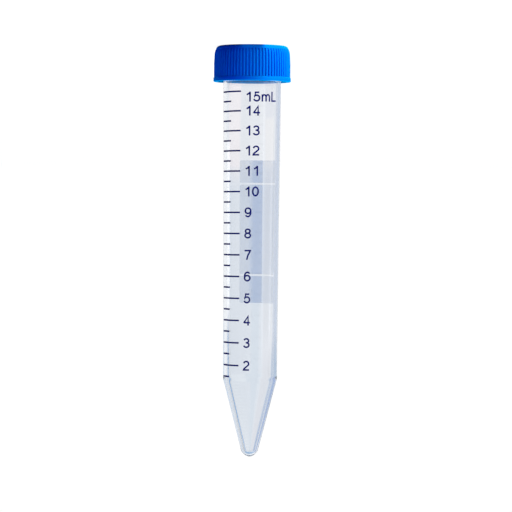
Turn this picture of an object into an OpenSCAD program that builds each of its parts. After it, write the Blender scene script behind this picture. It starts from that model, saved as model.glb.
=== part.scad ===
// 15 ml conical centrifuge tube with a ribbed screw cap, two plastic mouldings.
// The capped tube stands upside down on the flat top of its cap: that top is z = 0, the conical
// tip points along +Z, and the axis of both mouldings is Z. Heights written from_tip run the
// other way, from the tip towards the cap.

/* [Tube] */
// Length from the cap's flat top to the tip
overall_length = 120; // [110:1:130]
// Outer diameter where the barrel leaves the cap
barrel_top_d = 17.0; // [16.6:0.1:17.6]
// Outer diameter where the draft of the barrel changes
barrel_mid_d = 16.23; // [16.1:0.01:16.6]
// Outer diameter at the cone's shoulder
barrel_low_d = 15.8; // [15.6:0.1:16.0]
// Distance from the tip to the change of draft
draft_break_from_tip = 66; // [50:1:80]
// Distance from the tip to the cone's shoulder, outside
cone_length = 22.8; // [20:0.1:24]
// Wall at the cap's end of the barrel
wall_top = 0.94; // [0.9:0.01:1.1]
// Wall where the draft changes
wall_mid = 0.92; // [0.85:0.01:1]
// Wall at the cone's shoulder
wall_low = 1.0; // [0.9:0.01:1.1]

/* [Tip] */
// Outer diameter where the cone meets the domed tip
tip_d = 4.9; // [4.6:0.1:5.2]
// Height of the domed tip
dome_h = 1.7; // [1.5:0.1:1.9]
// Diameter of the flat at the very bottom
tip_flat_d = 0.9; // [0.6:0.1:1.2]
// Radius of the dome's curve, seen in section
dome_r = 3.4; // [2.5:0.1:5]
// Thickness of the floor
floor_t = 1.1; // [0.9:0.05:1.4]
// Radius of the hollow where its cone meets its round bottom
well_r = 1.61; // [1.4:0.01:1.7]
// Distance from the tip to the top of the round bottom, inside
well_from_tip = 2.1; // [1.9:0.1:2.4]

/* [Neck] */
// Outer diameter of the neck, at the root of its thread
neck_d = 16.9; // [16.5:0.1:17]
// Radius of the rounded lip
lip_round = 0.3; // [0.1:0.05:0.4]

/* [Cap] */
// Height of the cap
cap_h = 10.45; // [10:0.05:11]
// Diameter over the ribs
rib_tip_d = 22.3; // [22:0.1:22.6]
// Diameter of the rim band
rim_d = 22.6; // [22.6:0.1:23.4]
// Height of the rim band
rim_h = 1.3; // [1:0.1:2]
// Diameter of the flat top, inside its rounded edge
top_flat_d = 19.2; // [18.6:0.1:19.6]
// Depth of the smooth shoulder above the ribs
shoulder_h = 1.15; // [1:0.05:1.25]
// Radius of the shoulder's curve, seen in section
shoulder_r = 1.25; // [1:0.05:2]
// Number of ribs
rib_count = 72; // [48:12:72]
// Depth of the grooves between the ribs
rib_depth = 0.35; // [0.2:0.05:0.4]
// Width of one rib
rib_w = 0.66; // [0.5:0.02:0.7]
// Thickness of the top plate
plate_t = 1.3; // [1.1:0.1:1.6]
// Inner diameter of the skirt, at the root of its thread
skirt_bore_d = 19.5; // [19.2:0.1:19.8]
// Diameter of the gate recess in the top
gate_recess_d = 2.6; // [2:0.2:4]
// Depth of the gate recess
gate_recess_h = 0.3; // [0.2:0.1:0.5]

/* [Plug seal] */
// Radial gap between the plug and the neck
plug_gap = 0.08; // [0.05:0.01:0.2]
// Wall of the plug
plug_wall = 0.9; // [0.7:0.1:1.2]
// Depth of the plug below the top plate
plug_h = 2.6; // [2:0.1:3]

/* [Hidden] */
$fn = 96;
ARC_STEPS = 8;
OVERLAP = 0.1; // how far one solid runs into the next that it is fused with

draft_break_z = overall_length - draft_break_from_tip;
shoulder_z = overall_length - cone_length;
well_z = overall_length - well_from_tip;
neck_r = neck_d / 2;
tip_r = tip_d / 2;
bore_top_r = barrel_top_d / 2 - wall_top;
bore_mid_r = barrel_mid_d / 2 - wall_mid;
bore_low_r = barrel_low_d / 2 - wall_low;
// The hollow's own shoulder lies a little nearer the cap than the outer one.
bore_shoulder_z = shoulder_z - 0.6;
// The neck's bore carries on the draft of the upper barrel.
upper_draft = (bore_top_r - bore_mid_r) / (draft_break_z - cap_h);
mouth_r = bore_top_r + upper_draft * (cap_h - plate_t);

rib_r = rib_w / 2;
crest_r = rib_tip_d / 2;
// The ribs are round bars whose crests the cap's outer form trims by a hair.
rib_axis_r = crest_r + 0.03 - rib_r;
rim_r = rim_d / 2;
rim_z = cap_h - rim_h;
skirt_r = skirt_bore_d / 2;
plug_r = mouth_r - plug_gap;
plug_end_z = plate_t + plug_h;

// Points of the arc of radius r from p to q, both as [radius, z]. It turns anticlockwise where
// r is positive and clockwise where it is negative.
function arc_between(p, q, r) =
    let (chord = q - p,
         half = norm(chord) / 2,
         side = [-chord[1], chord[0]] / norm(chord),
         centre = (p + q) / 2 + sign(r) * sqrt(r * r - half * half) * side,
         from = atan2(p[1] - centre[1], p[0] - centre[0]),
         to = atan2(q[1] - centre[1], q[0] - centre[0]),
         turn = sign(r) * ((sign(r) * (to - from) + 720) % 360))
    [for (i = [0:ARC_STEPS]) let (a = from + turn * i / ARC_STEPS)
        centre + abs(r) * [cos(a), sin(a)]];

// Outside of the tube, from the lip to the middle of the tip.
function tube_outside() = concat(
    [[mouth_r, plate_t]],
    arc_between([neck_r - lip_round, plate_t], [neck_r, plate_t + lip_round], lip_round),
    [[neck_r, cap_h - 0.6],
     [barrel_top_d / 2, cap_h],
     [barrel_mid_d / 2, draft_break_z],
     [barrel_low_d / 2, shoulder_z]],
    arc_between([tip_r, overall_length - dome_h], [tip_flat_d / 2, overall_length], dome_r),
    [[0, overall_length]]);

// Inside of the tube, from the middle of the floor back to the mouth.
function tube_inside() = concat(
    [[0, overall_length - floor_t]],
    arc_between([0.3, overall_length - floor_t], [well_r, well_z], -1.5),
    [[bore_low_r, bore_shoulder_z],
     [bore_mid_r, draft_break_z],
     [bore_top_r, cap_h]]);

module tube() {
    color([0.88, 0.92, 0.96, 0.5])
        rotate_extrude() polygon(concat(tube_outside(), tube_inside()));
}

// Rounded shoulder of the cap, from the flat top to the ledge where the ribs begin.
function shoulder_line() =
    arc_between([top_flat_d / 2, 0], [crest_r - 0.53, shoulder_h], shoulder_r);

// Line of the ribs' crests, which bow out a little below the ledge and then run straight.
function crest_line() = [
    [crest_r - 0.45, shoulder_h],
    [crest_r - 0.32, shoulder_h + 0.3],
    [crest_r - 0.15, shoulder_h + 1.05],
    [crest_r, shoulder_h + 4],
    [crest_r, cap_h]];

module cap_form(skirt_line) {
    rotate_extrude() polygon(concat([[0, 0]], shoulder_line(), skirt_line, [[0, cap_h]]));
}

module rib() {
    linear_extrude(rim_z + OVERLAP) {
        translate([rib_axis_r, 0]) circle(rib_r);
        translate([rib_axis_r - 1.2, -rib_r]) square([1.2, rib_w]);
    }
}

// Ribbed skirt and top plate, still solid inside.
module ribbed_form() {
    intersection() {
        cap_form(crest_line());
        union() {
            cap_form([for (p = crest_line()) p - [rib_depth, 0]]);
            for (i = [0:rib_count - 1]) rotate([0, 0, i * 360 / rib_count]) rib();
        }
    }
}

module rim_band() {
    rotate_extrude() polygon(concat(
        [[0, rim_z], [crest_r - OVERLAP, rim_z], [rim_r - 0.04, rim_z + 0.12], [rim_r, rim_z + 0.25]],
        arc_between([rim_r, cap_h - 0.22], [rim_r - 0.22, cap_h], 0.22),
        [[0, cap_h]]));
}

// Hollow of the skirt, with a lead-in at the mouth of the cap.
module skirt_hollow() {
    rotate_extrude() polygon([
        [0, plate_t],
        [skirt_r - 0.3, plate_t],
        [skirt_r, plate_t + 0.3],
        [skirt_r, cap_h - 0.4],
        [skirt_r + 0.3, cap_h],
        [skirt_r + 0.3, cap_h + OVERLAP],
        [0, cap_h + OVERLAP]]);
}

// Shallow round recess in the top that keeps the gate's mark off the bench.
module gate_recess() {
    rotate_extrude() polygon([
        [0, -OVERLAP],
        [gate_recess_d / 2, -OVERLAP],
        [gate_recess_d / 2, 0],
        [gate_recess_d / 2 - 0.2, gate_recess_h],
        [0.5, gate_recess_h],
        [0.45, gate_recess_h - 0.15],
        [0, gate_recess_h - 0.15]]);
}

module plug_ring() {
    rotate_extrude() polygon([
        [plug_r - plug_wall, plate_t - OVERLAP],
        [plug_r, plate_t - OVERLAP],
        [plug_r, plug_end_z - 1.2],
        [plug_r - 0.3, plug_end_z - 0.15],
        [plug_r - 0.45, plug_end_z],
        [plug_r - plug_wall + 0.15, plug_end_z],
        [plug_r - plug_wall, plug_end_z - 0.3]]);
}

module screw_cap() {
    color([0.02, 0.33, 0.85]) {
        difference() {
            union() {
                ribbed_form();
                rim_band();
            }
            skirt_hollow();
            gate_recess();
        }
        plug_ring();
    }
}

tube();
screw_cap();
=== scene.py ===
"""Looks of a capped 15 ml conical tube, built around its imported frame.

The capped tube stands upside down on the flat top of its cap. The centre of that flat
top is the origin and +Z points to the tube's tip. Sizes are in millimetres, and meshes
in metres. The tube rides on the body "tube" and the cap on the body "cap".
"""

import logging
import math
from collections.abc import Callable, Sequence
from dataclasses import dataclass, field
from enum import Enum

import bmesh
import bpy
from mathutils import Matrix, Quaternion, Vector

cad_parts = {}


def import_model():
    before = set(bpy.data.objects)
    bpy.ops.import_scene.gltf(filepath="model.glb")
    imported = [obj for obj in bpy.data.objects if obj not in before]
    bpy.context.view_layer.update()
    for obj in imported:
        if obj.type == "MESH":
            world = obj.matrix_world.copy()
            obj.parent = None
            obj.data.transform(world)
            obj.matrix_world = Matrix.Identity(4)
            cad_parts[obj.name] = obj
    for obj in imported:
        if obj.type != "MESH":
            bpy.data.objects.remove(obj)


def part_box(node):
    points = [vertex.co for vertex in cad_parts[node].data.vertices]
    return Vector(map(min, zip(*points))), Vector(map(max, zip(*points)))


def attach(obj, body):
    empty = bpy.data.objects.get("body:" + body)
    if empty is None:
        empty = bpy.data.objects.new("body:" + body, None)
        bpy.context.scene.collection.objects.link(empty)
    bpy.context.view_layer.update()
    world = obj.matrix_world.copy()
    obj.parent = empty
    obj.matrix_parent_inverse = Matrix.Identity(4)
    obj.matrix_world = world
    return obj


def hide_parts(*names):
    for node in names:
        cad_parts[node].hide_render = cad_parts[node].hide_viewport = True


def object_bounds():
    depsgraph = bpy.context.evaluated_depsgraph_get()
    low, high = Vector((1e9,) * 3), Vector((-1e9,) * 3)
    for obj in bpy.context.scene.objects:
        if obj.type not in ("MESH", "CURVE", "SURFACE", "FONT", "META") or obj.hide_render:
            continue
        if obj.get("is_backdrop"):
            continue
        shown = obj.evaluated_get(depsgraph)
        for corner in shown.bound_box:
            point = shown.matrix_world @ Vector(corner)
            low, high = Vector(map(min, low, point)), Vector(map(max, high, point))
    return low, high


MM = 0.001  # metres in a millimetre
ML = 1000.0  # cubic millimetres in a millilitre
WELD = 1e-6  # points closer than this, in metres, are one point
TURN = 360.0  # degrees in a turn

Piece = bpy.types.Object
Finish = bpy.types.Material
Colour = tuple[float, float, float]
Point2 = tuple[float, float]
WHITE: Colour = (1.0, 1.0, 1.0)

log = logging.getLogger("conical_tube")


def metres(lengths: Sequence[float]) -> list[float]:
    """Turns lengths in millimetres into metres."""
    return [length * MM for length in lengths]


class Body(Enum):
    """Bodies of the frame that the pieces ride on."""

    CAP = "cap"
    TUBE = "tube"


class Slot(Enum):
    """Material slots of the record."""

    CLEAR = "clear_plastic"
    BLUE = "blue_plastic"
    NAVY = "navy_ink"
    WHITE = "white_ink"


class Pick(Enum):
    """What is picked in edit mode."""

    VERTS = "VERT"
    EDGES = "EDGE"
    FACES = "FACE"


class Ray(Enum):
    """Kinds of ray that the surroundings are shown to."""

    CAMERA = "Is Camera Ray"
    TRANSMISSION = "Is Transmission Ray"


class Side(Enum):
    """Side of the barrel that a print is on, and its turn about the axis."""

    FRONT = 0.0
    BACK = math.pi


# ---- outlines


@dataclass(frozen=True)
class Corner:
    """One corner of an outline that is turned about the axis."""

    radius: float  # distance from the axis
    height: float  # height above the cap's flat top
    rounding: float = 0.0  # radius of the fillet that softens the corner, or 0
    # radius of the arc that leads here from the corner before, in place of a straight line;
    # it turns anticlockwise where positive
    bulge: float = 0.0

    @property
    def spot(self) -> Vector:
        """The corner as a vector of radius and height."""
        return Vector((self.radius, self.height))


class Outline:
    """A meridian line made of corners, arcs and fillets."""

    ARC_STEPS = 10
    SUPPORT = 0.35  # distance from a corner to the row that holds its shading
    LONG = 6 * SUPPORT  # shortest stretch that gets such rows

    def __init__(self, *corners: Corner) -> None:
        """Keeps the corners in the order in which the line visits them."""
        self.corners = corners

    def points(self) -> list[Vector]:
        """Traces the outline.

        Returns:
            Its points, each as a vector of radius and height.
        """
        traced: list[Vector] = []
        for index, corner in enumerate(self.corners):
            if corner.bulge:
                before = self.corners[index - 1].spot
                traced.extend(self._arc(before, corner.spot, corner.bulge)[1:])
            elif corner.rounding:
                traced.extend(self._fillet(index))
            else:
                traced.append(corner.spot)
        return self._supported(traced)

    def _arc(self, start: Vector, end: Vector, bulge: float) -> list[Vector]:
        """Divides an arc.

        Args:
            start: First point.
            end: Last point.
            bulge: Radius, positive where the arc turns anticlockwise.

        Returns:
            The points from start to end, both included.
        """
        chord = end - start
        half = chord.length / 2
        turn = math.copysign(1.0, bulge)
        side = Vector((-chord.y, chord.x)).normalized()
        centre = (start + end) / 2 + turn * math.sqrt(bulge * bulge - half * half) * side
        first = math.atan2(start.y - centre.y, start.x - centre.x)
        sweep = turn * 2 * math.asin(half / abs(bulge))
        angles = (first + sweep * step / self.ARC_STEPS for step in range(self.ARC_STEPS + 1))
        return [centre + abs(bulge) * Vector((math.cos(a), math.sin(a))) for a in angles]

    def _fillet(self, index: int) -> list[Vector]:
        """Rounds one corner.

        Args:
            index: Place of the corner in the outline.

        Returns:
            The points of the arc that touches both lines at the corner.
        """
        corner = self.corners[index]
        back = (self.corners[index - 1].spot - corner.spot).normalized()
        ahead = (self.corners[index + 1].spot - corner.spot).normalized()
        reach = corner.rounding / math.tan(back.angle(ahead) / 2)
        turn = math.copysign(1.0, back.y * ahead.x - back.x * ahead.y)
        start, end = corner.spot + back * reach, corner.spot + ahead * reach
        return self._arc(start, end, turn * corner.rounding)

    def _supported(self, line: list[Vector]) -> list[Vector]:
        """Adds a point near each end of every long stretch, to keep its shading straight.

        Args:
            line: Points of the outline.

        Returns:
            The same points with the new ones among them.
        """
        held = [line[0]]
        for start, end in zip(line, line[1:]):
            step = end - start
            if step.length > self.LONG:
                along = step.normalized() * self.SUPPORT
                held.extend((start + along, end - along))
            held.append(end)
        return held


# ---- modelling


def focus(*pieces: Piece) -> None:
    """Selects these objects alone and makes the first one active.

    Args:
        *pieces: The objects.
    """
    bpy.ops.object.select_all(action="DESELECT")
    for piece in pieces:
        piece.select_set(True)
    bpy.context.view_layer.objects.active = pieces[0]


def apply_modifier(piece: Piece, kind: str, **settings: object) -> None:
    """Adds one modifier to an object and applies it.

    Args:
        piece: Object to change.
        kind: Modifier type, such as "BOOLEAN".
        **settings: Properties of the modifier.
    """
    focus(piece)
    modifier = piece.modifiers.new(kind.lower(), kind)
    for name, value in settings.items():
        setattr(modifier, name, value)
    bpy.ops.object.modifier_apply(modifier=modifier.name)


def fuse(piece: Piece, addition: Piece) -> None:
    """Unites an object with another one, which is used up."""
    apply_modifier(piece, "BOOLEAN", operation="UNION", solver="EXACT", object=addition)
    bpy.data.objects.remove(addition)


def dress(piece: Piece, material: Finish) -> None:
    """Gives an object one material."""
    piece.data.materials.clear()
    piece.data.materials.append(material)


def deliver(
    piece: Piece, finish: Finish, body: Body, slot: Slot,
    crease_deg: float, replaces: str | None = None,
) -> Piece:
    """Shades and dresses a finished piece, hands it to the frame and reports it.

    Args:
        piece: The piece, in place.
        finish: Its material.
        body: Body that it rides on.
        slot: Slot that its finish belongs to; not used.
        crease_deg: Angle past which an edge stays sharp.
        replaces: Frame node that it stands for, if any.

    Returns:
        The piece.
    """
    focus(piece)
    bpy.ops.object.shade_smooth_by_angle(angle=math.radians(crease_deg))
    dress(piece, finish)
    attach(piece, body.value)
    if replaces:
        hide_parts(replaces)
    log.info("%s: %d faces, rides on %s", piece.name, len(piece.data.polygons), body.value)
    return piece


class Bench:
    """A mesh that is shaped in edit mode, with its object at the origin."""

    def __init__(self, piece: Piece) -> None:
        """Opens an object for editing, with all of it selected.

        Args:
            piece: The object.
        """
        self.piece = piece
        focus(piece)
        bpy.ops.object.mode_set(mode="EDIT")
        bpy.ops.mesh.select_mode(type="VERT")
        self.take_all()

    @classmethod
    def empty(cls, name: str) -> "Bench":
        """Opens a new mesh that holds nothing yet.

        Args:
            name: Name of its object.

        Returns:
            The bench.
        """
        bpy.ops.object.select_all(action="DESELECT")
        bpy.ops.mesh.primitive_plane_add(size=MM)
        piece = bpy.context.object
        piece.name = piece.data.name = name
        bench = cls(piece)
        bpy.ops.mesh.delete(type="VERT")
        return bench

    def take_all(self) -> None:
        """Selects the whole mesh."""
        bpy.ops.mesh.select_all(action="SELECT")

    def pick(self, kind: Pick, test: Callable[..., bool]) -> None:
        """Selects the parts of one kind that pass a test, and nothing else.

        Args:
            kind: Kind of part.
            test: Takes a part and tells whether it is wanted.
        """
        bpy.ops.mesh.select_mode(type=kind.value)
        bpy.ops.mesh.select_all(action="DESELECT")
        mesh = bmesh.from_edit_mesh(self.piece.data)
        for part in getattr(mesh, kind.name.lower()):
            part.select_set(test(part))
        if kind is Pick.VERTS:
            mesh.select_flush(True)
        bmesh.update_edit_mesh(self.piece.data)

    def draw(self, points: Sequence[Vector], closed: bool = False) -> None:
        """Draws a line by extruding a single point along it.

        Args:
            points: Points of the line, in millimetres.
            closed: Whether the last point is joined to the first.
        """
        bpy.ops.mesh.select_all(action="DESELECT")
        bpy.ops.mesh.primitive_plane_add(size=MM, location=points[0] * MM)
        bpy.ops.mesh.merge(type="CENTER")
        for start, end in zip(points, points[1:]):
            move = {"value": (end - start) * MM}
            bpy.ops.mesh.extrude_region_move(TRANSFORM_OT_translate=move)
        if closed:
            ends = (points[0] * MM, points[-1] * MM)
            self.pick(Pick.VERTS, lambda at: min((at.co - end).length for end in ends) < WELD)
            bpy.ops.mesh.edge_face_add()

    def spin(self, steps: int, angle: float, copies: bool = False) -> None:
        """Turns the selection about the axis.

        Args:
            steps: Number of steps.
            angle: Angle of all the steps together.
            copies: Whether it is copied at each step rather than swept.
        """
        bpy.ops.mesh.spin(
            steps=steps, angle=angle, dupli=copies, center=(0, 0, 0), axis=(0, 0, 1),
        )

    def weld(self) -> None:
        """Merges points that coincide and turns every face outwards."""
        self.take_all()
        bpy.ops.mesh.remove_doubles(threshold=WELD)
        self.face_outwards()

    def face_outwards(self) -> None:
        """Turns every face outwards."""
        self.take_all()
        bpy.ops.mesh.normals_make_consistent(inside=False)

    def close(self) -> Piece:
        """Leaves edit mode with nothing selected.

        Returns:
            The object.
        """
        bpy.ops.mesh.select_mode(type="VERT")
        bpy.ops.mesh.select_all(action="DESELECT")
        bpy.ops.object.mode_set(mode="OBJECT")
        return self.piece


# ---- shader writing


def both_ways(operation: str) -> tuple[Callable, Callable]:
    """Makes the method for an operator and the one for its reflected form.

    Args:
        operation: Operation of the Math node.

    Returns:
        The two methods.
    """

    def straight(self: "Wire", other: "Wire | float") -> "Wire":
        """Puts this wire first."""
        return self.maths(operation, self, other)

    def reflected(self: "Wire", other: "Wire | float") -> "Wire":
        """Puts the other value first."""
        return self.maths(operation, other, self)

    return straight, reflected


class Wire:
    """A value that runs between shader nodes, with ordinary arithmetic on numbers."""

    def __init__(self, graph: "Graph", socket: bpy.types.NodeSocket) -> None:
        """Wraps one output socket of a graph."""
        self.graph = graph
        self.socket = socket

    def maths(self, operation: str, *values: "Wire | float") -> "Wire":
        """Adds a Math node for one operation on one or two values."""
        return self.graph.add("Math", {"operation": operation}, dict(enumerate(values)))

    __add__, __radd__ = both_ways("ADD")
    __sub__, __rsub__ = both_ways("SUBTRACT")
    __mul__, __rmul__ = both_ways("MULTIPLY")
    __mod__, __rmod__ = both_ways("MODULO")
    __pow__, __rpow__ = both_ways("POWER")

    def __abs__(self) -> "Wire":
        """Gives the number without its sign."""
        return self.maths("ABSOLUTE", self)

    def sine(self) -> "Wire":
        """Gives the sine of the number, taken in radians."""
        return self.maths("SINE", self)

    def at_least(self, other: "Wire | float") -> "Wire":
        """Gives the larger of the two."""
        return self.maths("MAXIMUM", self, other)

    def angle_over(self, other: "Wire | float") -> "Wire":
        """Gives the angle in degrees whose tangent is this number over the other."""
        return self.maths("ARCTAN2", self, other) * math.degrees(1.0)

    def rise(self, low: float, high: float) -> "Wire":
        """Turns the number into a smooth step from 0 at the low one to 1 at the high one."""
        settings = {"interpolation_type": "SMOOTHSTEP"}
        return self.graph.add("MapRange", settings, {"Value": self, 1: low, 2: high})


class Graph:
    """The node tree of one material or world."""

    def __init__(self, tree: bpy.types.NodeTree) -> None:
        """Takes over a node tree and empties it."""
        self.tree = tree
        tree.nodes.clear()

    def add(
        self, kind: str, settings: dict | None = None, inputs: dict | None = None,
        output: int | str = 0,
    ) -> Wire | None:
        """Adds any node.

        Args:
            kind: Type of shader node, such as "TexNoise".
            settings: Properties, set first.
            inputs: Numbers, colours or wires by the socket's name or number.
            output: Name or number of the output that is wanted.

        Returns:
            That output, if the node has any.
        """
        made = self.tree.nodes.new(f"ShaderNode{kind}")
        for name, value in (settings or {}).items():
            setattr(made, name, value)
        for name, value in (inputs or {}).items():
            socket = self._socket(made.inputs, name)
            if isinstance(value, Wire):
                self.tree.links.new(value.socket, socket)
            else:
                socket.default_value = value
        return Wire(self, self._socket(made.outputs, output)) if made.outputs else None

    @staticmethod
    def _socket(sockets: bpy.types.bpy_prop_collection, key: int | str) -> bpy.types.NodeSocket:
        """Finds a socket.

        Args:
            sockets: Inputs or outputs of a node.
            key: Its number, identifier or name.

        Returns:
            The socket.
        """
        if isinstance(key, int):
            return sockets[key]
        return next((each for each in sockets if each.identifier == key), None) or sockets[key]

    def place(self, **mapping: Sequence[float]) -> Wire:
        """Gives the Object coordinates through a Mapping node with these inputs."""
        spot = self.add("TexCoord", output="Object")
        return self.add("Mapping", None, {"Vector": spot, **mapping})

    def axes(self, vector: Wire) -> list[Wire]:
        """Parts a vector into its three numbers."""
        return [self.add("SeparateXYZ", None, {0: vector}, axis) for axis in "XYZ"]

    def noise(self, grain: float, detail: float, upright: float = 1.0) -> Wire:
        """Gives a noise on Object coordinates.

        Args:
            grain: Size of its lumps in millimetres.
            detail: Octaves of finer noise.
            upright: Scale along Z, where less than 1 draws the lumps out.

        Returns:
            The noise, about 0.5 in the middle.
        """
        scaled = self.place(Scale=(1.0, 1.0, upright))
        inputs = {"Vector": scaled, "Scale": 1.0 / (grain * MM), "Detail": detail}
        return self.add("TexNoise", None, inputs)

    def blend(self, amount: Wire, first: Wire | Colour, second: Wire | Colour) -> Wire:
        """Mixes two colours.

        Args:
            amount: Share of the second one.
            first: The one colour.
            second: The other.

        Returns:
            The mixed colour.
        """
        a, b = (each if isinstance(each, Wire) else opaque(each) for each in (first, second))
        inputs = {"Factor_Float": amount, "A_Color": a, "B_Color": b}
        return self.add("Mix", {"data_type": "RGBA"}, inputs, "Result_Color")

    def bump(self, height: Wire, depth: float) -> Wire:
        """Turns a height of 0 to 1 into normals, for a relief that many millimetres deep."""
        inputs = {"Height": height, "Distance": depth * MM, "Strength": 1.0}
        return self.add("Bump", None, inputs)

    def mix(self, share: Wire | float, first: Wire, second: Wire) -> Wire:
        """Mixes two shaders by the second one's share."""
        return self.add("MixShader", None, {0: share, 1: first, 2: second})

    def shown_to(self, ray: Ray) -> Wire:
        """Gives 1 for a ray of that kind and 0 for any other."""
        return self.add("LightPath", output=ray.value)

    def finish(self, kind: str, *ends: Wire) -> None:
        """Ends the tree in an output node, given its surface and perhaps its volume."""
        self.add(kind, None, dict(enumerate(ends)))


def opaque(colour: Colour) -> tuple[float, float, float, float]:
    """Gives a colour as a colour socket takes it."""
    return (*colour, 1.0)


def new_material(name: str) -> tuple[Finish, Graph]:
    """Makes a material.

    Args:
        name: Its name.

    Returns:
        The material and its empty node tree.
    """
    material = bpy.data.materials.new(name)
    material.use_nodes = True
    return material, Graph(material.node_tree)


# ---- finishes


@dataclass(frozen=True)
class ClearPlastic:
    """Clear polypropylene with a faint cool tint and the slight ripple of a moulding."""

    tint: Colour = (0.934, 0.942, 0.957)  # colour that one wall passes at its surfaces
    # colour that is left after a stretch inside the plastic
    body_tint: Colour = (0.16, 0.40, 0.69)
    density: float = 36.0  # strength of that tint, per metre
    ior: float = 1.49  # index of refraction
    haze: float = 0.004  # roughness where the surface is at its clearest
    haze_range: float = 0.02  # how much the roughness varies
    ripple: float = 0.0004  # depth of the long ripples
    ring_pitch: float = 0.95  # distance from ring to ring of the tool marks on the cone
    ring_depth: float = 0.012  # their depth
    ring_from: Point2 = (98.0, 99.0)  # heights between which they set in

    def build(self) -> Finish:
        """Builds the material.

        Returns:
            The material.
        """
        material, graph = new_material("clear_polypropylene")
        cloud = graph.noise(grain=9.0, detail=3.0, upright=0.35)
        flow = graph.noise(grain=3.0, detail=1.0, upright=0.08)
        height = graph.axes(graph.place())[2]
        rings = (height * (math.tau / (self.ring_pitch * MM))).sine() * 0.5 + 0.5
        rings = rings * height.rise(*metres(self.ring_from))
        shader = graph.add("BsdfPrincipled", None, {
            "Base Color": opaque(self.tint),
            "IOR": self.ior,
            "Transmission Weight": 1.0,
            "Roughness": self.haze + cloud * self.haze_range,
            "Normal": graph.bump(flow * self.ripple + rings * self.ring_depth, depth=1.0),
        })
        inside = {"Color": opaque(self.body_tint), "Density": self.density}
        depth = graph.add("VolumeAbsorption", None, inside)
        graph.finish("OutputMaterial", shader, depth)
        return material


@dataclass(frozen=True)
class BluePlastic:
    """Blue polyethylene with a satin moulded surface that lets a little light through."""

    deep: Colour = (0.0, 0.003, 0.63)  # darker of the two blues that the colour wanders between
    bright: Colour = (0.0, 0.006, 0.69)  # lighter of the two
    wander: Point2 = (0.35, 0.65)  # levels of the noise between which it passes to the lighter
    roughness: float = 0.62  # roughness at its smoothest
    roughness_range: float = 0.12  # how much the roughness varies
    shine: Colour = (0.0, 0.85, 1.0)  # colour of the soft highlights
    shine_share: float = 0.17  # share of the soft highlights where the surface faces the eye
    edge_share: float = 0.25  # what a grazing look adds to that share
    ior: float = 1.45  # index of refraction that sets how fast it is added
    # painted light: the thin-walled inside and the rim's face get this brighter blue, which stands
    # in for the light that gathers there
    painted_inner_glow: Colour = (0.0, 0.30, 1.0)
    # radii between which a surface passes from the inside to the outside
    inner_r: Point2 = (10.15, 10.25)
    inner_z: Point2 = (1.3, 1.6)  # heights between which it passes from the flat top to the inside
    rim_z: Point2 = (10.25, 10.4)  # heights between which it passes to the rim's face
    glow_through: Colour = (0.0, 0.06, 0.85)  # colour of the light that comes through the wall
    see_through: float = 0.08  # share of the light that comes through
    grain_depth: float = 0.006  # depth of the fine surface grain

    def build(self) -> Finish:
        """Builds the material.

        Returns:
            The material.
        """
        material, graph = new_material("blue_polyethylene")
        cloud = graph.noise(grain=4.0, detail=3.0)
        grain = graph.noise(grain=0.22, detail=2.0)
        relief = graph.bump(grain, self.grain_depth)
        outer = graph.blend(cloud.rise(*self.wander), self.deep, self.bright)
        body = graph.add("BsdfPrincipled", None, {
            # painted light: the inside and the rim's face take the brighter blue in place of their
            # own colour
            "Base Color": graph.blend(self._painted_glow_area(graph), outer, self.painted_inner_glow),
            "Specular IOR Level": 0.0,
            "Roughness": self.roughness + grain * self.roughness_range,
            "Normal": relief,
        })
        light = graph.add("BsdfTranslucent", None, {"Color": opaque(self.glow_through)})
        body = graph.mix(self.see_through, body, light)
        satin = {"Color": opaque(self.shine), "Roughness": self.roughness, "Normal": relief}
        gloss = graph.add("BsdfAnisotropic", None, satin)
        grazing = graph.add("Fresnel", None, {"IOR": self.ior})
        share = grazing * self.edge_share + self.shine_share
        graph.finish("OutputMaterial", graph.mix(share, body, gloss))
        return material

    def _painted_glow_area(self, graph: Graph) -> Wire:
        """Finds the inside and the rim's face, where a brighter blue is painted in as light.

        Args:
            graph: Tree to add to.

        Returns:
            1 there and 0 elsewhere.
        """
        across, depth, height = graph.axes(graph.place())
        reach = (across * across + depth * depth) ** 0.5
        near, far = metres(self.inner_r)
        within = reach.rise(far, near) * height.rise(*metres(self.inner_z))
        return within.at_least(height.rise(*metres(self.rim_z)))


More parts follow.
